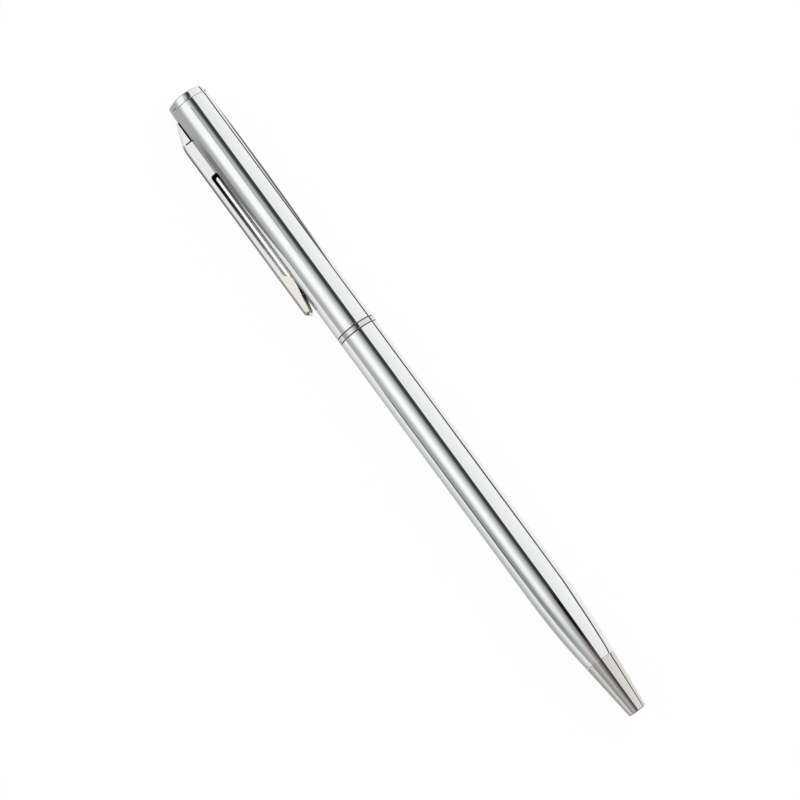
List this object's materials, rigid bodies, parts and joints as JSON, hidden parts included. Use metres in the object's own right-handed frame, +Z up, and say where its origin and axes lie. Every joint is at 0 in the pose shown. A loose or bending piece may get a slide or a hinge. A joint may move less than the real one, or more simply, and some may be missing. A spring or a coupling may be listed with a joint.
{
  "type": "ballpoint pen",
  "caption": "Slim all-chrome twist-action ballpoint pen with a flat crown, a folded spring clip, a centre ring and a tapered nose; turning the top half slides the refill out.",
  "frame": {"origin": "on the table, under the middle of the pen's box, with the pen lying on its barrel and on the edge of its clip", "axes": "+X along the pen from the crown to the nose, +Z up from the table, -Y on the side where the clip is"},
  "size_m": [0.134, 0.0096, 0.0076],
  "materials": {
    "casing_chrome": "polished chrome plate",
    "ring_chrome": "polished chrome plate",
    "nose_chrome": "polished chrome plate on a turned cone",
    "clip_chrome": "polished chrome plate on folded sheet",
    "mechanism_brass": "turned",
    "refill_brass": "drawn tube",
    "tip_metal": "turned nickel silver",
    "ball_metal": "ground carbide ball",
    "pin_steel": "ground pin",
    "bush_plastic": "moulded",
    "liner_plastic": "moulded",
    "drive_plastic": "moulded",
    "washer_plastic": "punched",
    "follower_plastic": "moulded",
    "grip_rubber": "moulded ring",
    "grease": "soft grease",
    "ink": "thick ink"
  },
  "bodies": {
    "lower": {"lower_barrel": "casing_chrome", "nose_cone": "nose_chrome", "centre_ring": "ring_chrome", "mechanism_sleeve": "mechanism_brass", "retaining_collar": "mechanism_brass", "thrust_washer": "washer_plastic"},
    "drive": {"cam_tube": "drive_plastic", "drive_stub": "drive_plastic", "grip_ring": "grip_rubber"},
    "cap": {"upper_barrel": "casing_chrome", "crown": "casing_chrome", "clip_bush": "bush_plastic", "drive_liner": "liner_plastic"},
    "clip": {"clip": "clip_chrome"},
    "refill": {"follower": "follower_plastic", "follower_pin": "pin_steel", "refill_tube": "refill_brass", "grease_plug": "grease", "ink_column": "ink", "refill_tip": "tip_metal"},
    "ball": {"writing_ball": "ball_metal"}
  },
  "joints": [
    {"name": "barrel_twist", "type": "hinge", "parent": "lower", "child": "drive", "pos_m": [-0.0169, 0.00099, 0.0038], "axis": [1, 0, 0], "range_deg": [0, 180]},
    {"name": "cap_pull", "type": "slide", "parent": "drive", "child": "cap", "axis": [-1, 0, 0], "range_m": [0, 0.022]},
    {"name": "clip_flex", "type": "hinge", "parent": "cap", "child": "clip", "pos_m": [-0.0644, -0.00256, 0.00218], "axis": [0, 0.4153, -0.9097], "range_deg": [0, 4], "stiffness_Nm_per_rad": 2},
    {"name": "refill_slide", "type": "slide", "parent": "lower", "child": "refill", "axis": [1, 0, 0], "range_m": [0, 0.005]},
    {"name": "ball_roll", "type": "hinge", "parent": "refill", "child": "ball", "pos_m": [0.0641, 0.00099, 0.0038], "axis": [0, 0.4153, -0.9097], "continuous": true}
  ],
  "couplings": [
    {"joint": "refill_slide", "follows": "barrel_twist", "m_per_rad": 0.0015915}
  ]
}
